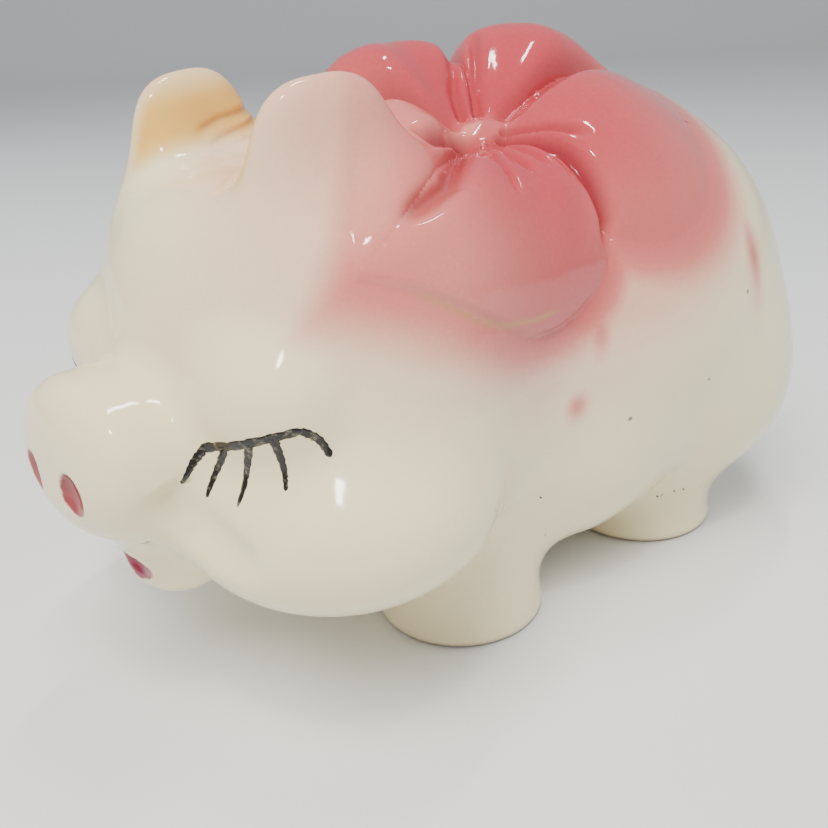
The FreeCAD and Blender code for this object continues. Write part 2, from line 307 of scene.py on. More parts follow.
def ear_fold_depth(p):
    """How deep the folds of an ear's inner face are, as a share."""
    depth = 0.0
    for fold in EAR_FOLDS:
        gap, along = path_distance((0 * p[0], p[1], p[2]), fold)
        depth = np.maximum(depth, np.exp(-(gap / 0.75) ** 2) * smoothstep(0, 0.25, along))
    return depth * smoothstep(0.5, -2.0, ear_frame(p)[0])


def ears(p):
    q = ear_frame(p)
    paddle = pillow(q, *EAR_HALF, squareness=2.9)
    bowl = ellipsoid(q, (-EAR_HALF[0] - 4.2, -0.5, 6.5), (5.6, 9.5, 12.0))
    return smooth_max(paddle, -bowl, 3.0) + 0.45 * ear_fold_depth(p)


def tail(p):
    """A small curl that lies on the rump."""
    lean = math.radians(28.0)
    x, y, z = (a - c for a, c in zip(p, TAIL))
    across, out = z * math.cos(lean) - y * math.sin(lean), y * math.cos(lean) + z * math.sin(lean)
    ring = np.hypot(x, across) - 5.0
    return np.hypot(ring, out) - 2.2


# ------------------------------------------------------------------ the flower

# The flower is drawn on the body unrolled about its long axis: first coordinate round, second along.
UNROLL_RADIUS = 42.0
UNROLL_Z = 50.0
FLOWER_CENTRE = (13.0, -3.0)
# The folds between petals, as plan angles, and how far out each one meets the flower's rim.
FOLD_ANGLES = (-61.0, 5.0, 94.0, 149.0, 222.0, 299.0)
FOLD_REACH = (51.0, 31.0, 39.0, 26.0, 28.0, 51.0)
PETALS = ("petal_flank", "petal_rear", "petal_crest", "petal_far", "petal_front")
PETAL_REACH = (45.0, 40.0, 42.0, 36.0, 30.0)
PETAL_RELIEF = (4.2, 4.2, 7.8, 8.6, 3.0)
PETAL_ROUND = (3.0, 2.8, 4.5, 5.0, 2.6)
PETAL_FALL = (1.0, 1.3, 0.75, 0.75, 1.3)
PETAL_STEP = (0.8, 0.0, 0.8, 1.0, 0.0)
EYE_RADIUS = 5.0
# The folds: points from the centre outwards on the unrolled body, width, depth as a share, and how much painted
# shade darkens the fold.
FOLDS = (
    (((1.5, -2.5), (8.5, -13.2), (16.6, -24.4), (20.7, -37.5)), 1.7, 1.35, 0.55),
    (((0.6, -3.0), (3.6, -10.0), (4.0, -15.5), (3.0, -19.0)), 2.6, 1.30, 0.95),
    (((3.0, -3.4), (8.8, -9.8), (13.6, -15.0)), 0.85, 0.55, 0.30),
    (((3.4, -2.4), (9.5, -7.6), (15.5, -11.6), (22.0, -14.6)), 0.85, 0.60, 0.35),
    (((3.6, -1.4), (8.8, -4.2), (13.6, -5.6), (18.2, -6.6)), 0.85, 0.55, 0.30),
    (((3.4, -0.6), (8.0, -1.6), (13.0, -1.6), (18.0, -2.0)), 0.80, 0.45, 0.20),
    (((3.0, 0.2), (6.8, 0.4), (11.0, 2.2), (16.0, 3.4), (22.0, 3.4), (28.0, 2.6), (34.0, 0.0)), 1.25, 1.05, 0.95),
    (((2.8, 1.2), (6.0, 3.6), (10.0, 5.9), (15.5, 8.2)), 0.95, 0.80, 0.35),
    (((0.2, 2.6), (-0.4, 12.0), (-1.2, 24.0), (-2.4, 38.0)), 2.0, 1.05, 0.25),
    (((-2.8, -0.4), (-9.4, 1.8), (-14.5, 6.4), (-21.5, 12.6)), 1.1, 0.85, 0.25),
    (((-2.4, 1.8), (-7.6, 5.3), (-11.6, 9.4), (-18.0, 16.4)), 1.1, 0.85, 0.25),
    (((-1.8, -2.2), (-6.0, -6.4), (-12.0, -10.0), (-20.0, -17.5)), 1.7, 0.95, 0.40))
RIM_LINE = ((29.0, -38.6), (33.2, -33.4), (36.2, -28.9), (38.1, -23.7), (38.9, -17.3), (38.7, -10.9))


def flower_coordinates(p):
    """Where a point is from the flower's centre on the unrolled body."""
    round_body = UNROLL_RADIUS * np.arctan2(p[0], np.maximum(p[2] - UNROLL_Z, 1.0))
    return round_body - UNROLL_RADIUS * math.atan2(FLOWER_CENTRE[0], 36.0), p[1] - FLOWER_CENTRE[1]


def flower_plane(p):
    """Distance and angle (degrees, from the first fold) from the flower's centre on the unrolled body."""
    u, v = flower_coordinates(p)
    angle = np.degrees(np.arctan2(v, u))
    return np.hypot(u, v), FOLD_ANGLES[0] + (angle - FOLD_ANGLES[0]) % 360.0


def petal_shape(p):
    """Which petal a point is under, its place across it (-1 to 1), its place out (0 to 1 at the rim)."""
    reach, angle = flower_plane(p)
    index = np.clip(np.searchsorted(FOLD_ANGLES, angle, side="right") - 1, 0, len(PETALS) - 1)
    start, end = np.array(FOLD_ANGLES)[index], np.array(FOLD_ANGLES)[index + 1]
    across = 2 * (angle - start) / (end - start) - 1
    fold = np.where(across < 0, np.array(FOLD_REACH)[index], np.array(FOLD_REACH)[index + 1])
    tip = np.array(PETAL_REACH)[index]
    rim = tip + (fold - tip) * np.abs(across) ** 2.2
    return index, across, reach / rim, reach


def petal_value(values, index, across):
    """A number that each petal has, run into its neighbour's towards the fold between them."""
    values = np.array(values)
    beside = (index + np.where(across < 0, -1, 1)) % len(PETALS)
    share = 0.5 * np.minimum(np.abs(across), 1.0) ** 4
    return values[index] * (1 - share) + values[beside] * share


def fold_marks(p):
    """Depth of the folds and pleats, and how much painted shade darkens them, as a share."""
    form = bpy.context.scene.pig_form
    plane = flower_coordinates(p)
    depth = np.zeros(np.shape(plane[0]))
    shade_share = np.zeros(np.shape(plane[0]))
    for points, width, deep, dark in FOLDS:
        gap, along = path_distance(plane, points)
        fade = smoothstep(0.0, 0.14, along) * (1 - smoothstep(0.80, 1.0, along))
        depth = np.maximum(depth, form.crease_depth * deep * np.exp(-(gap / width) ** 2) * fade)
        shade_share = np.maximum(shade_share, dark * np.exp(-(gap / (0.75 * width)) ** 2) * fade)
    return depth, shade_share


def flower_relief(p):
    """Height of the flower above the bare body."""
    form = bpy.context.scene.pig_form
    index, across, out, reach = petal_shape(p)
    folds, _ = fold_marks(p)
    height = petal_value(PETAL_RELIEF, index, across)
    rise = smoothstep(0.10, 0.62, out)
    fall = np.clip(1 - np.clip(out, 0, 1) ** petal_value(PETAL_ROUND, index, across), 0, 1)
    fall = fall ** petal_value(PETAL_FALL, index, across)
    crown = np.clip(1 - np.abs(across) ** 2.8, 0, 1) ** 0.7
    merging = ((index == 0) & (across > 0)) | ((index == 1) & (across < 0))
    crown = np.where(merging, crown + (1 - crown) * 0.85 * smoothstep(0.50, 0.92, out), crown)
    relief = height * rise * fall * (0.18 + 0.82 * crown)
    step = form.petal_edge * petal_value(PETAL_STEP, index, across)
    step = np.where(merging, step * (1 - smoothstep(0.25, 0.85, np.abs(across))), step)
    relief = relief + step * (1 - smoothstep(0.975, 1.01, out)) * smoothstep(0.25, 0.8, out)
    well = -2.6 * np.exp(-(reach / 9.0) ** 2)
    eye = 1.5 * np.exp(-(reach / 3.0) ** 2)
    relief = relief + well + eye - folds
    on_top = smoothstep(44.0, 54.0, p[2])
    return relief * on_top * (1 - smoothstep(1.0, 1.03, out))


# ------------------------------------------------------------------ skin, hollow and openings

def skin(p):
    """The glazed outside of the whole pig."""
    form = bpy.context.scene.pig_form
    body = bare_body(p) - flower_relief(p)
    body = smooth_min(body, snout(p), form.face_blend)
    body = smooth_min(body, legs(p), form.leg_blend)
    body = smooth_min(body, ears(p), form.ear_blend)
    body = smooth_min(body, tail(p), 1.5)
    q = mirrored(p)
    body = smooth_max(body, -ellipsoid(q, *NOSTRIL), 0.8)
    body = smooth_max(body, -ellipsoid(q, *MOUTH), 1.2)
    return smooth_max(body, -p[2], 2.4)


def openings(p):
    """Hollow inside, coin slot and emptying hole, as one field that is below zero where clay is missing."""
    form = bpy.context.scene.pig_form
    hollow = bare_body(p) + form.wall
    straight = SLOT_HALF_LENGTH - SLOT_HALF_WIDTH
    slot = np.hypot(p[0] - SLOT_X, np.maximum(np.abs(p[1] - SLOT_Y) - straight, 0)) - SLOT_HALF_WIDTH
    slot = np.maximum(slot, UNROLL_Z - p[2])
    boss = np.maximum(np.hypot(p[0], p[1] - HOLE_Y) - SEAT_RADIUS - 2.4, p[2] - SEAT_Z - form.wall)
    hollow = np.maximum(hollow, -boss)
    bore = np.hypot(p[0], p[1] - HOLE_Y)
    hole = np.maximum(np.where(p[2] < SEAT_Z, bore - SEAT_RADIUS, bore - HOLE_RADIUS), p[2] - UNROLL_Z)
    return np.minimum(np.minimum(hollow, slot), hole)


def clay(p):
    """Below zero wherever there is clay."""
    return smooth_max(skin(p), -openings(p), 1.0)


PIECES = ["body_shell", "snout_disc", "left_ear", "right_ear", "front_left_leg", "front_right_leg",
          "rear_left_leg", "rear_right_leg", "tail", "flower_eye"] + list(PETALS)


def piece_labels(p):
    """The number in PIECES, plus one, of the piece that owns each point, or AIR."""
    owner = np.full(np.shape(p[0]), SHELL, np.uint8)
    body = bare_body(p)
    outside = body > -0.3
    index, _, out, reach = petal_shape(p)
    petal = (body > np.minimum(-0.3, flower_relief(p) - 1.5)) & (p[2] > 55.0) & (out < 1.0)
    owner = np.where(petal, PIECES.index("petal_flank") + 1 + index, owner).astype(np.uint8)
    owner[petal & (reach < EYE_RADIUS)] = PIECES.index("flower_eye") + 1
    owner[outside & (snout(p) < body)] = PIECES.index("snout_disc") + 1
    owner[outside & (tail(p) < body)] = PIECES.index("tail") + 1
    ear = outside & (ears(p) < body - flower_relief(p))
    leg = outside & (legs(p) < body)
    for side, sign in SIDES:
        here = p[0] * sign > 0
        owner[ear & here] = PIECES.index(side + "_ear") + 1
        front = p[1] < HOLE_Y
        owner[leg & here & front] = PIECES.index("front_" + side + "_leg") + 1
        owner[leg & here & ~front] = PIECES.index("rear_" + side + "_leg") + 1
    return owner


# ------------------------------------------------------------------ meshing

def gradient(field, p, step=0.04):
    parts = []
    for axis in range(3):
        ahead, behind = list(p), list(p)
        ahead[axis] = p[axis] + step
        behind[axis] = p[axis] - step
        parts.append((field(tuple(ahead)) - field(tuple(behind))) / (2 * step))
    return np.stack(parts, -1)


def settle(field, points, rounds=3, most=1.0):
    """Move points onto the surface where the field is zero."""
    points = points.copy()
    for _ in range(rounds):
        p = tuple(points.T)
        slope = gradient(field, p)
        move = -field(p)[:, None] * slope / np.maximum((slope ** 2).sum(1), 0.05)[:, None]
        length = np.linalg.norm(move, axis=1)[:, None]
        points += move * np.minimum(1, most / np.maximum(length, 1e-9))
    return points


def label_grid(step):
    low = np.array(CAD_BOX[0]) / MM - 3 * step
    high = np.array(CAD_BOX[1]) / MM + 3 * step
    axes = [np.arange(a, b, step) for a, b in zip(low, high)]
    labels = np.zeros([len(a) for a in axes], np.uint8)
    for i, x in enumerate(axes[0]):
        y, z = np.meshgrid(axes[1], axes[2], indexing="ij")
        p = (np.full_like(y, x), y, z)
        labels[i] = np.where(clay(p) < 0, piece_labels(p), AIR)
    return axes, labels


def shared_mesh(axes, labels, step):
    """One vertex in each cell that holds a border between pieces, and the quads between cells."""
    count = np.zeros(np.array(labels.shape) - 1, np.float32)
    total = np.zeros(count.shape + (3,), np.float32)
    quads, owners = [], []
    cell = np.full(count.shape, -1, np.int64)
    for axis in range(3):
        lead = np.moveaxis(labels, axis, 0)
        differ = lead[:-1] != lead[1:]
        others = [a for a in range(3) if a != axis]
        for du in (0, 1):
            for dv in (0, 1):
                view_count = np.moveaxis(count, [axis] + sorted(others), [0, 1, 2])
                view_total = np.moveaxis(total, [axis] + sorted(others), [0, 1, 2])
                part = differ[:, du:differ.shape[1] - 1 + du, dv:differ.shape[2] - 1 + dv]
                view_count += part
                offset = np.zeros(3, np.float32)
                offset[axis] = 0.5
                offset[sorted(others)[0]] = du
                offset[sorted(others)[1]] = dv
                view_total += part[..., None] * offset
    used = count > 0
    cell[used] = np.arange(used.sum())
    where = np.argwhere(used)
    start = np.array([a[0] for a in axes])
    points = start + (where + total[used] / count[used][:, None]) * step
    for axis in range(3):
        u, v = (axis + 1) % 3, (axis + 2) % 3
        lead = np.moveaxis(labels, [axis, u, v], [0, 1, 2])
        cells = np.moveaxis(cell, [axis, u, v], [0, 1, 2])
        edge = np.argwhere(lead[:-1, 1:-1, 1:-1] != lead[1:, 1:-1, 1:-1])
        i, j, k = edge[:, 0], edge[:, 1] + 1, edge[:, 2] + 1
        ring = np.stack([cells[i, j - 1, k - 1], cells[i, j, k - 1], cells[i, j, k], cells[i, j - 1, k]], 1)
        quads.append(ring)
        owners.append(np.stack([lead[i, j, k], lead[i + 1, j, k]], 1))
    return points, np.concatenate(quads), np.concatenate(owners)


def relax(points, quads, outer, rounds):
    """Even out the mesh along the skin, keeping every vertex on it."""
    skin_quads = quads[(outer == AIR).any(1)]
    edges = np.concatenate([skin_quads[:, [a, (a + 1) % 4]] for a in range(4)])
    edges = np.unique(np.sort(edges, 1), axis=0)
    on_skin = np.zeros(len(points), bool)
    on_skin[skin_quads.ravel()] = True
    for _ in range(rounds):
        total = np.zeros_like(points)
        count = np.zeros(len(points))
        for a, b in ((0, 1), (1, 0)):
            np.add.at(total, edges[:, a], points[edges[:, b]])
            np.add.at(count, edges[:, a], 1)
        mean = total / np.maximum(count, 1)[:, None]
        points[on_skin] += 0.6 * (mean - points)[on_skin]
        points[on_skin] = settle(clay, points[on_skin], 1)
    return points, on_skin


def refine(points, quads, on_skin_quad):
    """Split each quad in four and put the new skin vertices on the skin."""
    pairs = np.concatenate([np.sort(quads[:, [a, (a + 1) % 4]], 1) for a in range(4)])
    edges, place = np.unique(pairs, axis=0, return_inverse=True)
    place = place.reshape(4, len(quads)) + len(points)
    middles = points[edges].mean(1)
    centres = points[quads].mean(1)
    centre_id = len(points) + len(edges) + np.arange(len(quads))
    all_points = np.concatenate([points, middles, centres])
    finer = []
    for a in range(4):
        finer.append(np.stack([quads[:, a], place[a], centre_id, place[(a - 1) % 4]], 1))
    finer = np.concatenate(finer)
    flags = np.tile(on_skin_quad, 4)
    moved = np.zeros(len(all_points), bool)
    moved[finer[flags].ravel()] = True
    moved[:len(points)] = False
    # An edge shared with a seam stays straight, so that the neighbour's edge still matches it.
    moved[place[:, ~on_skin_quad].ravel()] = False
    all_points[moved] = settle(clay, all_points[moved], 2)
    return all_points, finer, flags


def sink_seams(points, least):
    """Keep the hidden faces between pieces at least a little below the skin."""
    p = tuple(points.T)
    return points - gradient(clay, p) * np.maximum(clay(p) + least, 0)[:, None]


def cast_pieces():
    """Mesh the whole pig at once, so that neighbouring pieces share their edges, and deal out the pieces."""
    form = bpy.context.scene.pig_form
    step = form.mesh_step * 1.0
    axes, labels = label_grid(step)
    points, quads, owners = shared_mesh(axes, labels, step)
    on_skin = np.zeros(len(points), bool)
    on_skin[quads[(owners == AIR).any(1)].ravel()] = True
    points[on_skin] = settle(clay, points[on_skin], 4)
    points, on_skin = relax(points, quads, owners, 3)
    points[on_skin] = settle(clay, points[on_skin], 2)
    points[~on_skin] = sink_seams(points[~on_skin], 0.4 * step)
    meshes = {}
    for number, name in enumerate(PIECES, start=1):
        forward = owners[:, 0] == number
        backward = owners[:, 1] == number
        own = np.concatenate([quads[forward], quads[backward][:, ::-1]])
        faces_air = np.concatenate([owners[forward][:, 1], owners[backward][:, 0]]) == AIR
        if not len(own):
            raise RuntimeError("no clay was found for " + name)
        used, inverse = np.unique(own.ravel(), return_inverse=True)
        own_points, own_quads = points[used], inverse.reshape(-1, 4)
        finer = 0 if name in ("body_shell",) or "leg" in name else 1
        for _ in range(finer):
            own_points, own_quads, faces_air = refine(own_points, own_quads, faces_air)
        meshes[name] = (own_points, own_quads)
    return meshes


def mesh_object(name, points, quads):
    mesh = bpy.data.meshes.new(name)
    mesh.vertices.add(len(points))
    mesh.vertices.foreach_set("co", (points * MM).astype(np.float32).ravel())
    sides = quads.shape[1]
    mesh.loops.add(quads.size)
    mesh.loops.foreach_set("vertex_index", quads.astype(np.int32).ravel())
    mesh.polygons.add(len(quads))
    mesh.polygons.foreach_set("loop_start", np.arange(0, quads.size, sides, dtype=np.int32))
    mesh.polygons.foreach_set("loop_total", np.full(len(quads), sides, np.int32))
    mesh.update(calc_edges=True)
    mesh.validate()
    mesh.shade_smooth()
    piece = bpy.data.objects.new(name, mesh)
    bpy.context.scene.collection.objects.link(piece)
    return piece


def smooth_seams(piece):
    """Give every vertex on the clay's surface the surface's own direction, so that seams don't show."""
    points = points_of(piece)
    p = tuple(points.T)
    slope = gradient(clay, p)
    length = np.linalg.norm(slope, axis=1)
    own = np.empty(len(points) * 3, np.float32)
    piece.data.vertices.foreach_get("normal", own)
    normals = own.reshape(-1, 3).astype(float)
    near = (np.abs(clay(p)) < 0.7) & (length > 0.2)
    normals[near] = slope[near] / length[near][:, None]
    piece.data.normals_split_custom_set_from_vertices(normals.tolist())


def paint_mask(piece, name, values):
    layer = piece.data.attributes.new(name, "FLOAT", "POINT")
    layer.data.foreach_set("value", np.clip(values, 0, 1).astype(np.float32))


def points_of(piece):
    flat = np.empty(len(piece.data.vertices) * 3, np.float32)
    piece.data.vertices.foreach_get("co", flat)
    return flat.reshape(-1, 3).astype(float) / MM


# ------------------------------------------------------------------ paint masks, worked out per vertex

DABS = (((40.8, -6, 57), (5.0, 2.6, 5.0)), ((39.5, -9.6, 44.7), (5.0, 2.2, 2.4)),
        ((44.7, 13, 66), (5.0, 2.6, 7.0)), ((46, 32, 62), (5.0, 2.6, 8.0)), ((30, 44, 84), (5.0, 3.0, 4.0)))
PETAL_STRENGTH = (1.0, 0.97, 1.0, 1.0, 0.70)
# The share of colour left at each petal's rim, and how far past the rim the spray reaches.
PETAL_HOLD = (0.84, 0.80, 0.92, 0.95, 0.70)
PETAL_HAZE = (15.0, 14.0, 12.0, 10.0, 14.0)


def spot(p, centre, radii):
    return np.exp(-sum(((a - c) / r) ** 2 for a, c, r in zip(p, centre, radii)))


def rose_mask(p):
    """How much flower colour the airbrush left, 0 to 1."""
    index, across, out, reach = petal_shape(p)
    rim = reach / np.maximum(out, 1e-3)
    strength = petal_value(PETAL_STRENGTH, index, across)
    beyond = petal_value(PETAL_HAZE, index, across)
    share = np.where(out < 1, 0.5 * smoothstep(0.35, 1.0, out), 0.5 + 0.5 * smoothstep(0, 1, (reach - rim) / beyond))
    full = petal_value(PETAL_HOLD, index, across)
    mask = strength * np.where(share < 0.5, 1 - (1 - full) * 2 * share, full * (1 - share) * 2)
    u, v = flower_coordinates(p)
    mask = np.maximum(mask, 0.42 * (1 - smoothstep(24.0, 58.0, np.hypot(u - 9.0, v + 8.0))))
    mask = mask * (1 - 0.28 * spot(p, (36, -34, 70), (12, 11, 12)))
    mask = mask * (1 - 0.15 * smoothstep(6.5, 2.0, reach)) * smoothstep(34.0, 62.0, p[2])
    mask = np.maximum(mask, 0.16 * spot(p, (16, -26, 90), (18, 14, 12)))
    for centre, radii in DABS:
        mask = np.maximum(mask, 0.60 * spot(mirrored(p), centre, radii))
    return mask


def fold_shade_mask(p):
    """Painted shade in the flower's folds: dark colour where shade falls in them."""
    _, shade_share = fold_marks(p)
    _, _, out, _ = petal_shape(p)
    return shade_share * smoothstep(1.1, 0.95, out) * smoothstep(44.0, 54.0, p[2])


def ear_masks(p):
    """Blush on the ears' backs, amber inside them, and a mask of the inner face, used for painted shade in its
    folds.
    """
    q = ear_frame(p)
    near = smoothstep(3.0, 0.5, ears(p)) * smoothstep(72.0, 84.0, p[2])
    inner = smoothstep(1.0, -2.0, q[0]) * near
    back = smoothstep(-1.0, 2.0, q[0]) * near
    rim = smoothstep(15.0, 19.5, q[2]) * near
    blush = np.maximum(back * (0.20 + 0.26 * smoothstep(-12, 12, q[1])), 0.30 * rim)
    amber = 0.95 * inner * smoothstep(-12.0, 6.0, q[2]) * (1 - 0.55 * rim)
    return blush, amber, inner


def paint_all(piece):
    p = tuple(points_of(piece).T)
    blush, amber, inner = ear_masks(p)
    rose = np.maximum(rose_mask(p), blush)
    rose = rose * (1 - 0.8 * inner)
    paint_mask(piece, "rose", rose)
    # Painted shade laid into the flower's folds.
    paint_mask(piece, "shaded", fold_shade_mask(p))
    gap, along = path_distance(flower_coordinates(p), RIM_LINE)
    line = np.exp(-(gap / 0.42) ** 2) * smoothstep(0, 0.1, along) * (1 - smoothstep(0.9, 1, along))
    line = line * smoothstep(44.0, 54.0, p[2])
    # The ear part of this mask is painted shade in the inner ear's folds; the rim line is the petals' real brown
    # edge.
    paint_mask(piece, "rim_line_and_fold_shade", np.maximum(0.5 * ear_fold_depth(p) * inner, 0.75 * line))
    paint_mask(piece, "amber", amber)
    paint_mask(piece, "bare_clay", smoothstep(1.3, 0.5, p[2]))
    paint_mask(piece, "inside", smoothstep(0.5, 2.5, skin(p) * -1.0))


# ------------------------------------------------------------------ materials

def add_node(tree, kind, settings=None, **values):
    """A node with some of its properties and input values set."""
    made = tree.nodes.new(kind)
    for key, value in (settings or {}).items():
        setattr(made, key, value)
    for key, value in values.items():
        made.inputs[key.replace("_", " ")].default_value = value
    return made


def new_group(name, inputs, outputs):
    tree = bpy.data.node_groups.new(name, "ShaderNodeTree")
    for label, kind, value in inputs:
        socket = tree.interface.new_socket(name=label, in_out="INPUT", socket_type=kind)
        socket.default_value = value
    for label, kind in outputs:
        tree.interface.new_socket(name=label, in_out="OUTPUT", socket_type=kind)
    return tree, tree.nodes.new("NodeGroupInput"), tree.nodes.new("NodeGroupOutput")


def glaze_flaws_group():
    """Pinholes, iron specks and the faint ripple of a brushed and fired glaze."""
    tree, ins, outs = new_group(
        "glaze_flaws",
        [("Speck Size", "NodeSocketFloat", 260.0), ("Speck Amount", "NodeSocketFloat", 0.5),
         ("Ripple Size", "NodeSocketFloat", 160.0)],
        [("Specks", "NodeSocketFloat"), ("Ripple", "NodeSocketFloat"), ("Mottle", "NodeSocketFloat")])
    link = tree.links.new
    place = add_node(tree, "ShaderNodeTexCoord")
    cells = add_node(tree, "ShaderNodeTexVoronoi", {"feature": "F1"}, Randomness=1.0)
    link(place.outputs["Object"], cells.inputs["Vector"])
    link(ins.outputs["Speck Size"], cells.inputs["Scale"])
    size = add_node(tree, "ShaderNodeSeparateColor")
    link(cells.outputs["Color"], size.inputs["Color"])
    chosen = add_node(tree, "ShaderNodeMapRange")
    link(size.outputs["Red"], chosen.inputs["Value"])
    chosen.inputs["From Min"].default_value = 0.965
    chosen.inputs["From Max"].default_value = 1.0
    chosen.inputs["To Min"].default_value = 0.0
    chosen.inputs["To Max"].default_value = 0.16
    dot = add_node(tree, "ShaderNodeMath", {"operation": "LESS_THAN"})
    link(cells.outputs["Distance"], dot.inputs[0])
    link(chosen.outputs["Result"], dot.inputs[1])
    some = add_node(tree, "ShaderNodeMath", {"operation": "MULTIPLY"})
    link(dot.outputs[0], some.inputs[0])
    link(ins.outputs["Speck Amount"], some.inputs[1])
    ripple = add_node(tree, "ShaderNodeTexNoise", Detail=2.0, Roughness=0.45)
    link(place.outputs["Object"], ripple.inputs["Vector"])
    link(ins.outputs["Ripple Size"], ripple.inputs["Scale"])
    mottle = add_node(tree, "ShaderNodeTexNoise", Scale=42.0, Detail=5.0, Roughness=0.6)
    link(place.outputs["Object"], mottle.inputs["Vector"])
    link(some.outputs[0], outs.inputs["Specks"])
    link(ripple.outputs["Fac"], outs.inputs["Ripple"])
    link(mottle.outputs["Fac"], outs.inputs["Mottle"])
    return tree


def mix_colour(tree, base, top, factor):
    """Lay one colour over another. Each of base and top is a socket or a plain colour."""
    mix = add_node(tree, "ShaderNodeMix", {"data_type": "RGBA", "clamp_factor": True})
    for index, value in ((6, base), (7, top)):
        if isinstance(value, bpy.types.NodeSocket):
            tree.links.new(value, mix.inputs[index])
        else:
            mix.inputs[index].default_value = (*value, 1.0)
    tree.links.new(factor, mix.inputs[0])
    return mix.outputs[2]


def mask_socket(tree, name):
    return add_node(tree, "ShaderNodeAttribute", {"attribute_name": name}).outputs["Fac"]


def airbrush_group():
    """The sprayed and brushed colours of the pig, with painted shade in the flower's folds, from the masks that each
    piece carries.
    """
    paint = bpy.context.scene.pig_paint
    tree, ins, outs = new_group(
        "airbrushed_colour",
        [("Mottle", "NodeSocketFloat", 0.5), ("Spray Grain", "NodeSocketFloat", 0.06)],
        [("Color", "NodeSocketColor")])
    link = tree.links.new
    rose = mask_socket(tree, "rose")
    grain = add_node(tree, "ShaderNodeTexNoise", Scale=1400.0, Detail=2.0)
    place = add_node(tree, "ShaderNodeTexCoord")
    link(place.outputs["Object"], grain.inputs["Vector"])
    both = add_node(tree, "ShaderNodeMath", {"operation": "ADD"})
    link(grain.outputs["Fac"], both.inputs[0])
    link(ins.outputs["Mottle"], both.inputs[1])
    centred = add_node(tree, "ShaderNodeMath", {"operation": "SUBTRACT"})
    link(both.outputs[0], centred.inputs[0])
    centred.inputs[1].default_value = 1.0
    shake = add_node(tree, "ShaderNodeMath", {"operation": "MULTIPLY_ADD"})
    link(centred.outputs[0], shake.inputs[0])
    link(ins.outputs["Spray Grain"], shake.inputs[1])
    link(rose, shake.inputs[2])
    ramp = add_node(tree, "ShaderNodeValToRGB")
    stops = ((0.0, paint.ivory), (0.30, paint.blush), (0.62, paint.salmon), (1.0, paint.coral))
    while len(ramp.color_ramp.elements) < len(stops):
        ramp.color_ramp.elements.new(0.5)
    for element, (position, colour) in zip(ramp.color_ramp.elements, stops):
        element.position = position
        element.color = (*colour, 1.0)
    link(shake.outputs[0], ramp.inputs["Fac"])
    colour = mix_colour(tree, ramp.outputs["Color"], paint.amber, mask_socket(tree, "amber"))
    # Painted shade: wine darkens the flower's folds.
    colour = mix_colour(tree, colour, paint.wine_fold_shade, mask_socket(tree, "shaded"))
    # Tan gives the petals' brown rim line and painted shade in the ear folds.
    colour = mix_colour(tree, colour, paint.tan, mask_socket(tree, "rim_line_and_fold_shade"))
    colour = mix_colour(tree, colour, paint.bisque, mask_socket(tree, "bare_clay"))
    link(colour, outs.inputs["Color"])
    return tree


def brushed_oval_group():
    """A mask for an oval patch brushed on the skin, with a slightly uneven edge."""
    tree, ins, outs = new_group(
        "brushed_oval",
        [("Centre", "NodeSocketVector", (0.0, 0.0, 0.0)), ("Reach", "NodeSocketVector", (0.01, 0.01, 0.01))],
        [("Mask", "NodeSocketFloat")])
    link = tree.links.new
    place = add_node(tree, "ShaderNodeTexCoord")
    noise = add_node(tree, "ShaderNodeTexNoise", Scale=420.0, Detail=3.0)
    link(place.outputs["Object"], noise.inputs["Vector"])
    away = add_node(tree, "ShaderNodeVectorMath", {"operation": "SUBTRACT"})
    link(place.outputs["Object"], away.inputs[0])
    link(ins.outputs["Centre"], away.inputs[1])
    scaled = add_node(tree, "ShaderNodeVectorMath", {"operation": "DIVIDE"})
    link(away.outputs[0], scaled.inputs[0])
    link(ins.outputs["Reach"], scaled.inputs[1])
    length = add_node(tree, "ShaderNodeVectorMath", {"operation": "LENGTH"})
    link(scaled.outputs[0], length.inputs[0])
    uneven = add_node(tree, "ShaderNodeMath", {"operation": "MULTIPLY_ADD"})
    link(noise.outputs["Fac"], uneven.inputs[0])
    uneven.inputs[1].default_value = 0.30
    link(length.outputs["Value"], uneven.inputs[2])
    edge = add_node(tree, "ShaderNodeMapRange")
    link(uneven.outputs[0], edge.inputs["Value"])
    edge.inputs["From Min"].default_value = 1.10
    edge.inputs["From Max"].default_value = 1.20
    edge.inputs["To Min"].default_value = 1.0
    edge.inputs["To Max"].default_value = 0.0
    link(edge.outputs["Result"], outs.inputs["Mask"])
    return tree


def shared_group(name, build):
    return bpy.data.node_groups.get(name) or build()


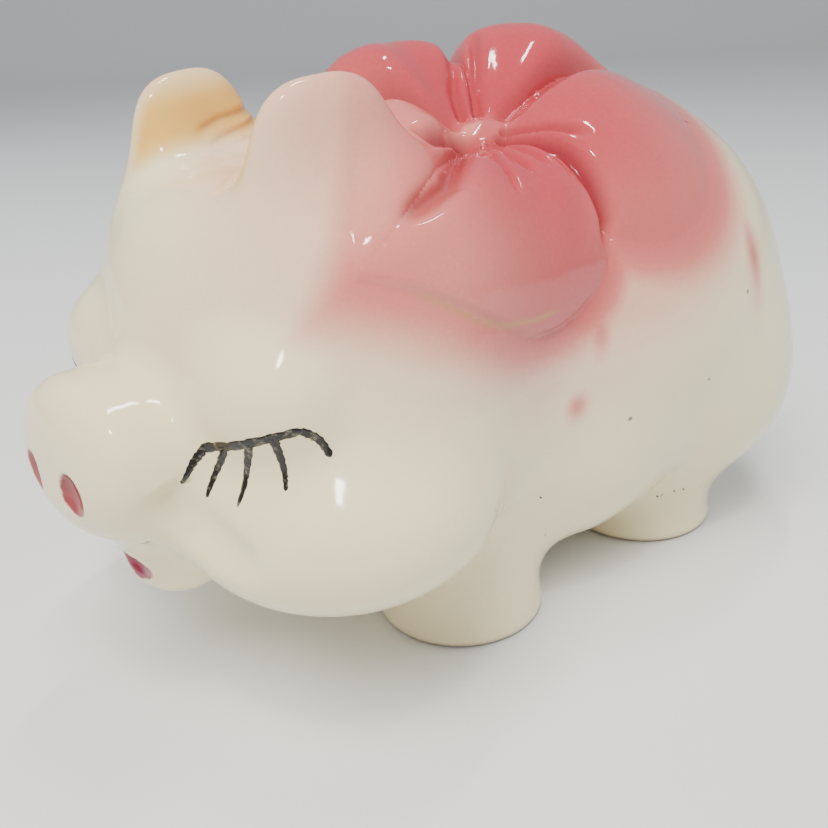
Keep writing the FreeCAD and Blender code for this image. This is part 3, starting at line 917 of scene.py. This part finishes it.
def glaze_material(name, ripple_size, ripple_depth, speck_amount, gloss, brushed=()):
    """Glossy fired glaze over the airbrushed colours, with bare clay on the foot rims."""
    material = bpy.data.materials.new(name)
    material.use_nodes = True
    tree = material.node_tree
    link = tree.links.new
    shader = tree.nodes["Principled BSDF"]
    flaws = add_node(tree, "ShaderNodeGroup", {"node_tree": shared_group("glaze_flaws", glaze_flaws_group)})
    flaws.inputs["Speck Size"].default_value = 230.0
    flaws.inputs["Speck Amount"].default_value = speck_amount
    flaws.inputs["Ripple Size"].default_value = ripple_size
    spray = add_node(tree, "ShaderNodeGroup", {"node_tree": shared_group("airbrushed_colour", airbrush_group)})
    link(flaws.outputs["Mottle"], spray.inputs["Mottle"])
    spray.inputs["Spray Grain"].default_value = 0.07
    paint = bpy.context.scene.pig_paint
    colour = spray.outputs["Color"]
    for centre, reach, tint in brushed:
        oval = add_node(tree, "ShaderNodeGroup", {"node_tree": shared_group("brushed_oval", brushed_oval_group)})
        oval.inputs["Centre"].default_value = [c * MM for c in centre]
        oval.inputs["Reach"].default_value = [r * MM for r in reach]
        colour = mix_colour(tree, colour, getattr(paint, tint), oval.outputs["Mask"])
    colour = mix_colour(tree, colour, (0.10, 0.055, 0.03), flaws.outputs["Specks"])
    link(colour, shader.inputs["Base Color"])
    rough = add_node(tree, "ShaderNodeMapRange")
    link(mask_socket(tree, "bare_clay"), rough.inputs["Value"])
    rough.inputs["To Min"].default_value = gloss
    rough.inputs["To Max"].default_value = 0.85
    wander = add_node(tree, "ShaderNodeMath", {"operation": "MULTIPLY_ADD"})
    link(flaws.outputs["Mottle"], wander.inputs[0])
    wander.inputs[1].default_value = 0.06
    link(rough.outputs["Result"], wander.inputs[2])
    link(wander.outputs[0], shader.inputs["Roughness"])
    bump = add_node(tree, "ShaderNodeBump", Strength=1.0, Distance=ripple_depth)
    link(flaws.outputs["Ripple"], bump.inputs["Height"])
    link(bump.outputs["Normal"], shader.inputs["Normal"])
    shader.inputs["IOR"].default_value = 1.52
    shader.inputs["Subsurface Weight"].default_value = 0.0
    return material


def enamel_material(name, colour, worn, rough):
    """Brushed underglaze colour: a little thin and streaky, under the same clear glaze."""
    paint = bpy.context.scene.pig_paint
    material = bpy.data.materials.new(name)
    material.use_nodes = True
    tree = material.node_tree
    link = tree.links.new
    shader = tree.nodes["Principled BSDF"]
    place = add_node(tree, "ShaderNodeTexCoord")
    streaks = add_node(tree, "ShaderNodeTexNoise", Scale=900.0, Detail=4.0, Roughness=0.7)
    link(place.outputs["Object"], streaks.inputs["Vector"])
    thin = add_node(tree, "ShaderNodeMapRange")
    link(streaks.outputs["Fac"], thin.inputs["Value"])
    thin.inputs["From Min"].default_value = 0.52
    thin.inputs["From Max"].default_value = 0.72
    thin.inputs["To Max"].default_value = worn
    link(mix_colour(tree, colour, paint.ivory, thin.outputs["Result"]), shader.inputs["Base Color"])
    wander = add_node(tree, "ShaderNodeMapRange")
    link(streaks.outputs["Fac"], wander.inputs["Value"])
    wander.inputs["To Min"].default_value = rough
    wander.inputs["To Max"].default_value = rough + 0.1
    link(wander.outputs["Result"], shader.inputs["Roughness"])
    shader.inputs["IOR"].default_value = 1.52
    return material


def rubber_material():
    """Matt moulded rubber with fine pores and a little dust."""
    material = bpy.data.materials.new("stopper_rubber")
    material.use_nodes = True
    tree = material.node_tree
    link = tree.links.new
    shader = tree.nodes["Principled BSDF"]
    place = add_node(tree, "ShaderNodeTexCoord")
    pores = add_node(tree, "ShaderNodeTexNoise", Scale=1600.0, Detail=4.0, Roughness=0.6)
    dust = add_node(tree, "ShaderNodeTexNoise", Scale=90.0, Detail=6.0, Roughness=0.65)
    for texture in (pores, dust):
        link(place.outputs["Object"], texture.inputs["Vector"])
    dusty = add_node(tree, "ShaderNodeMapRange")
    link(dust.outputs["Fac"], dusty.inputs["Value"])
    dusty.inputs["From Min"].default_value = 0.45
    dusty.inputs["From Max"].default_value = 0.75
    dusty.inputs["To Max"].default_value = 0.5
    colour = mix_colour(tree, (0.018, 0.017, 0.016), (0.095, 0.088, 0.080), dusty.outputs["Result"])
    link(colour, shader.inputs["Base Color"])
    rough = add_node(tree, "ShaderNodeMapRange")
    link(pores.outputs["Fac"], rough.inputs["Value"])
    rough.inputs["To Min"].default_value = 0.55
    rough.inputs["To Max"].default_value = 0.85
    link(rough.outputs["Result"], shader.inputs["Roughness"])
    bump = add_node(tree, "ShaderNodeBump", Strength=0.6, Distance=0.00015)
    link(pores.outputs["Fac"], bump.inputs["Height"])
    link(bump.outputs["Normal"], shader.inputs["Normal"])
    return material


# ------------------------------------------------------------------ brushed strokes and painted patches

def on_glaze(points, lift):
    """Points put on the pig's skin and lifted off it a little, with the skin's outward directions."""
    settled = settle(skin, np.array(points, float), 8, 3.0)
    normals = gradient(skin, tuple(settled.T))
    normals /= np.linalg.norm(normals, axis=1)[:, None]
    return settled + normals * lift, normals


def smooth_path(points, count):
    """A curve through a few points, given as many points at even steps."""
    points = np.array(points, float)
    ends = np.vstack([2 * points[0] - points[1], points, 2 * points[-1] - points[-2]])
    path = []
    for i in range(1, len(ends) - 2):
        a, b, c, d = ends[i - 1], ends[i], ends[i + 1], ends[i + 2]
        for t in np.linspace(0, 1, 12, endpoint=False):
            path.append(0.5 * (2 * b + (c - a) * t + (2 * a - 5 * b + 4 * c - d) * t ** 2
                               + (3 * b - a - 3 * c + d) * t ** 3))
    path = np.array(path + [points[-1]])
    length = np.concatenate([[0], np.cumsum(np.linalg.norm(np.diff(path, axis=0), axis=1))])
    even = np.linspace(0, length[-1], count)
    return np.stack([np.interp(even, length, path[:, a]) for a in range(3)], 1)


def stroke(points, width, taper, thickness=0.14):
    """A brush stroke on the skin: a thin domed ribbon. taper gives the width, as a share, at both ends."""
    count, across = 28, 7
    path = smooth_path(points, count)
    base, normals = on_glaze(path, 0.0)
    along = np.gradient(base, axis=0)
    sideways = np.cross(normals, along)
    sideways /= np.linalg.norm(sideways, axis=1)[:, None]
    t = np.linspace(0, 1, count)
    share = taper[0] + (taper[1] - taper[0]) * t
    round_ends = np.sqrt(np.clip(1 - np.abs(2 * t - 1) ** 14, 0.02, 1))
    ragged = 1 + 0.10 * np.sin(t * 37.0 + points[0][0]) + 0.06 * np.sin(t * 71.0)
    half = width / 2 * share * round_ends * ragged
    top, bottom = [], []
    for s in np.linspace(-1, 1, across):
        line, out = on_glaze(base + sideways * (half * s)[:, None], 0.0)
        dome = thickness * (1 - 0.85 * s * s) * np.minimum(1, share * 1.4)
        top.append(line + out * dome[:, None])
        bottom.append(line - out * 0.25)
    return closed_sheet(np.array(top), np.array(bottom))


def closed_sheet(top, bottom):
    """A thin closed solid between two grids of points."""
    rows, columns = top.shape[:2]
    grid = np.arange(rows * columns).reshape(rows, columns)
    low = grid + rows * columns
    up = np.stack([grid[:-1, :-1], grid[:-1, 1:], grid[1:, 1:], grid[1:, :-1]], -1).reshape(-1, 4)
    down = np.stack([low[:-1, :-1], low[1:, :-1], low[1:, 1:], low[:-1, 1:]], -1).reshape(-1, 4)
    walls = []
    for a, b in ((grid[0], low[0]), (grid[-1][::-1], low[-1][::-1]), (grid[:, -1], low[:, -1]),
                 (grid[:, 0][::-1], low[:, 0][::-1])):
        walls.append(np.stack([a[1:], a[:-1], b[:-1], b[1:]], -1))
    quads = np.concatenate([up, down] + walls)
    return np.concatenate([top.reshape(-1, 3), bottom.reshape(-1, 3)]), quads


def joined(parts):
    """Several closed sheets as one set of points and quads."""
    points, quads, offset = [], [], 0
    for p, q in parts:
        points.append(p)
        quads.append(q + offset)
        offset += len(p)
    return np.concatenate(points), np.concatenate(quads)


# The closed eye on the pig's left: the lid's edge, its outer flick and four lashes below it.
LASH_LINE = ((17.6, -66.2, 50.8), (22.1, -64.7, 52.0), (26.6, -63.5, 53.5), (29.9, -61.2, 54.6), (31.7, -58.4, 55.2))
LASH_FLICK = ((31.5, -58.8, 55.2), (32.4, -56.5, 53.3), (33.2, -55.3, 50.6))
LASHES = (((18.4, -66.1, 50.8), (17.4, -67.6, 48.7), (17.3, -69.6, 46.2)),
          ((21.9, -64.7, 51.8), (20.3, -65.7, 48.0), (19.9, -67.6, 44.4)),
          ((26.3, -63.5, 53.2), (25.0, -64.0, 48.6), (25.5, -66.0, 44.4)),
          ((29.4, -61.7, 54.3), (29.7, -61.0, 50.4), (30.6, -61.4, 46.8)))


def eye_parts(sign):
    form = bpy.context.scene.pig_form
    flip = np.array((sign, 1, 1))
    parts = [stroke(np.array(LASH_LINE) * flip, form.lash_width, (1.0, 0.85)),
             stroke(np.array(LASH_FLICK) * flip, form.lash_width, (0.8, 0.7))]
    for lash in LASHES:
        parts.append(stroke(np.array(lash) * flip, form.lash_width, (0.95, 0.4)))
    return parts


# Patches brushed on the snout and the chin: centre, reach each way, colour.
BRUSHED = (((NOSTRIL[0][0], NOSTRIL[0][1], NOSTRIL[0][2]), (2.7, 4.0, 3.4), "nostril_rose"),
           ((-NOSTRIL[0][0], NOSTRIL[0][1], NOSTRIL[0][2]), (2.7, 4.0, 3.4), "nostril_rose"),
           (MOUTH[0], (5.0, 3.6, 2.7), "mouth_red"))


# ------------------------------------------------------------------ operators

def dress(piece, material, body, slot, *nodes):
    piece.data.materials.append(material)
    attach(piece, body)
    if nodes:
        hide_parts(*nodes)


def material_called(name):
    made = bpy.data.materials.get(name + "_finish")
    if made:
        return made
    if name == "rose_glaze":
        return glaze_material(name + "_finish", 210.0, 0.00012, 0.25, 0.05)
    if name == "ear_glaze":
        return glaze_material(name + "_finish", 190.0, 0.00012, 0.4, 0.06)
    return glaze_material(name + "_finish", 150.0, 0.00014, 0.75, 0.06, BRUSHED)


class PIG_OT_cast(bpy.types.Operator):
    """Cast the shell, snout, ears, legs, tail and flower, and glaze them"""
    bl_idname = "pig.cast"
    bl_label = "Cast and glaze the pig"

    def execute(self, context):
        slots = {entry["node"]: entry["material_slot"] for entry in frame["record"]["subparts"]}
        for name, (points, quads) in cast_pieces().items():
            piece = mesh_object(name + "_glazed", points, quads)
            paint_all(piece)
            smooth_seams(piece)
            dress(piece, material_called(slots[name]), "bank", slots[name], name)
        return {"FINISHED"}


class PIG_OT_brush_eyes(bpy.types.Operator):
    """Brush the closed lids and lashes"""
    bl_idname = "pig.brush_eyes"
    bl_label = "Brush the eyes"

    def execute(self, context):
        paint = context.scene.pig_paint
        black = enamel_material("lash_enamel", paint.lash_black, 0.25, 0.10)
        for side, sign in SIDES:
            points, quads = joined(eye_parts(sign))
            if sign < 0:
                quads = quads[:, ::-1]
            dress(mesh_object(side + "_lashes", points, quads), black, "bank", "ivory_glaze")
        return {"FINISHED"}


class PIG_OT_stopper(bpy.types.Operator):
    """Give the rubber stopper its finish"""
    bl_idname = "pig.stopper"
    bl_label = "Finish the stopper"

    def execute(self, context):
        stopper = frame["nodes"]["stopper"]
        rubber = rubber_material()
        for slot in stopper.material_slots:
            slot.material = rubber
        return {"FINISHED"}


def aim(thing, target):
    direction = Vector(target) - thing.location
    thing.rotation_euler = direction.to_track_quat("-Z", "Y").to_euler()


def softbox(name, place, target, width, height, power, colour, mirrored_in_glaze=False):
    data = bpy.data.lights.new(name, "AREA")
    data.shape = "RECTANGLE"
    data.size, data.size_y = width, height
    data.energy = power
    data.color = colour
    lamp = bpy.data.objects.new(name, data)
    bpy.context.scene.collection.objects.link(lamp)
    lamp.location = place
    aim(lamp, target)
    lamp.visible_glossy = mirrored_in_glaze
    return lamp


CAMERA_PLACE = (0.1241, -0.1232, 0.1060)
CAMERA_TARGET = (-0.00244, -0.00719, 0.03038)
CAMERA_ROLL = -2.773
CAMERA_LENS = 40.6


class PIG_OT_studio(bpy.types.Operator):
    """Set the floor, the lights and the camera"""
    bl_idname = "pig.studio"
    bl_label = "Set the studio"

    def execute(self, context):
        self.lay_floor(context)
        self.hang_lights(context)
        self.place_camera(context)
        return {"FINISHED"}

    def lay_floor(self, context):
        """A pale sheet that runs flat under the pig and curves up far behind it."""
        width, front, bend, height = 4.0, -2.0, 1.6, 1.6
        profile = [(front, 0.0)]
        for i in range(13):
            turn = math.radians(90.0 * i / 12)
            profile.append((bend + 0.6 * math.sin(turn), 0.6 - 0.6 * math.cos(turn)))
        profile.append((bend + 0.6, height))
        yaw = math.radians(47.5)
        points, faces = [], []
        for x in (-width / 2, width / 2):
            for y, z in profile:
                points.append((x * math.cos(yaw) - y * math.sin(yaw), x * math.sin(yaw) + y * math.cos(yaw), z))
        count = len(profile)
        for i in range(count - 1):
            faces.append((i, i + count, i + 1 + count, i + 1))
        mesh = bpy.data.meshes.new("studio_sweep")
        mesh.from_pydata(points, [], faces)
        mesh.shade_smooth()
        sweep = bpy.data.objects.new("studio_sweep", mesh)
        context.scene.collection.objects.link(sweep)
        material = bpy.data.materials.new("studio_paper")
        material.use_nodes = True
        shader = material.node_tree.nodes["Principled BSDF"]
        shader.inputs["Base Color"].default_value = (*context.scene.pig_studio.floor_colour, 1.0)
        shader.inputs["Roughness"].default_value = 0.75
        mesh.materials.append(material)

    def hang_lights(self, context):
        studio = context.scene.pig_studio
        middle = (0.0, -0.01, 0.06)
        softbox("key_softbox", (0.20, -0.40, 0.75), middle, 0.45, 0.45, studio.key_power, (1.0, 0.955, 0.88))
        softbox("fill_softbox", (-0.75, -0.35, 0.35), middle, 0.6, 0.6, studio.fill_power, (0.92, 0.96, 1.0))
        softbox("rim_softbox", (0.55, 0.55, 0.45), middle, 0.5, 0.4, studio.fill_power, (0.80, 0.90, 1.0))
        softbox("glint_lamp", (0.30, -0.28, 0.85), middle, 0.07, 0.07, studio.glint_power, (1.0, 0.98, 0.95), True)
        softbox("glint_strip", (-0.05, 0.10, 0.70), middle, 0.03, 0.20, studio.glint_power, (1.0, 0.98, 0.95), True)
        world = bpy.data.worlds.new("studio_world")
        world.use_nodes = True
        world.node_tree.nodes["Background"].inputs["Color"].default_value = (0.93, 0.96, 1.0, 1.0)
        world.node_tree.nodes["Background"].inputs["Strength"].default_value = studio.world_strength
        context.scene.world = world

    def place_camera(self, context):
        data = bpy.data.cameras.new("studio_camera")
        data.lens = CAMERA_LENS
        data.sensor_width = 36.0
        data.clip_start = 0.005
        camera = bpy.data.objects.new("studio_camera", data)
        context.scene.collection.objects.link(camera)
        place, target = Vector(CAMERA_PLACE), Vector(CAMERA_TARGET)
        back = (place - target).normalized()
        right = Vector((0, 0, 1)).cross(back).normalized()
        up = back.cross(right)
        turn = math.radians(CAMERA_ROLL)
        rolled_right = right * math.cos(turn) + up * math.sin(turn)
        rolled_up = up * math.cos(turn) - right * math.sin(turn)
        axes = Matrix((rolled_right, rolled_up, back)).transposed().to_4x4()
        camera.matrix_world = Matrix.Translation(place) @ axes
        context.scene.camera = camera


class PIG_PT_sidebar(bpy.types.Panel):
    """The steps of making the pig"""
    bl_idname = "PIG_PT_sidebar"
    bl_label = "Piggy Bank"
    bl_space_type = "VIEW_3D"
    bl_region_type = "UI"
    bl_category = "Piggy Bank"

    def draw(self, context):
        for settings in (context.scene.pig_form, context.scene.pig_paint, context.scene.pig_studio):
            box = self.layout.box()
            for key in settings.__annotations__:
                box.prop(settings, key)
        for step in STEPS:
            self.layout.operator(step.bl_idname)


STEPS = (PIG_OT_cast, PIG_OT_brush_eyes, PIG_OT_stopper, PIG_OT_studio)
SETTINGS = (PigForm, PigPaint, PigStudio)


def register():
    for item in SETTINGS + STEPS + (PIG_PT_sidebar,):
        bpy.utils.register_class(item)
    bpy.types.Scene.pig_form = bpy.props.PointerProperty(type=PigForm)
    bpy.types.Scene.pig_paint = bpy.props.PointerProperty(type=PigPaint)
    bpy.types.Scene.pig_studio = bpy.props.PointerProperty(type=PigStudio)


def unregister():
    for name in ("pig_form", "pig_paint", "pig_studio"):
        delattr(bpy.types.Scene, name)
    for item in reversed(SETTINGS + STEPS + (PIG_PT_sidebar,)):
        bpy.utils.unregister_class(item)


def main():
    register()
    bpy.ops.pig.cast()
    bpy.ops.pig.brush_eyes()
    bpy.ops.pig.stopper()
    bpy.ops.pig.studio()


if __name__ == "__main__":
    main()
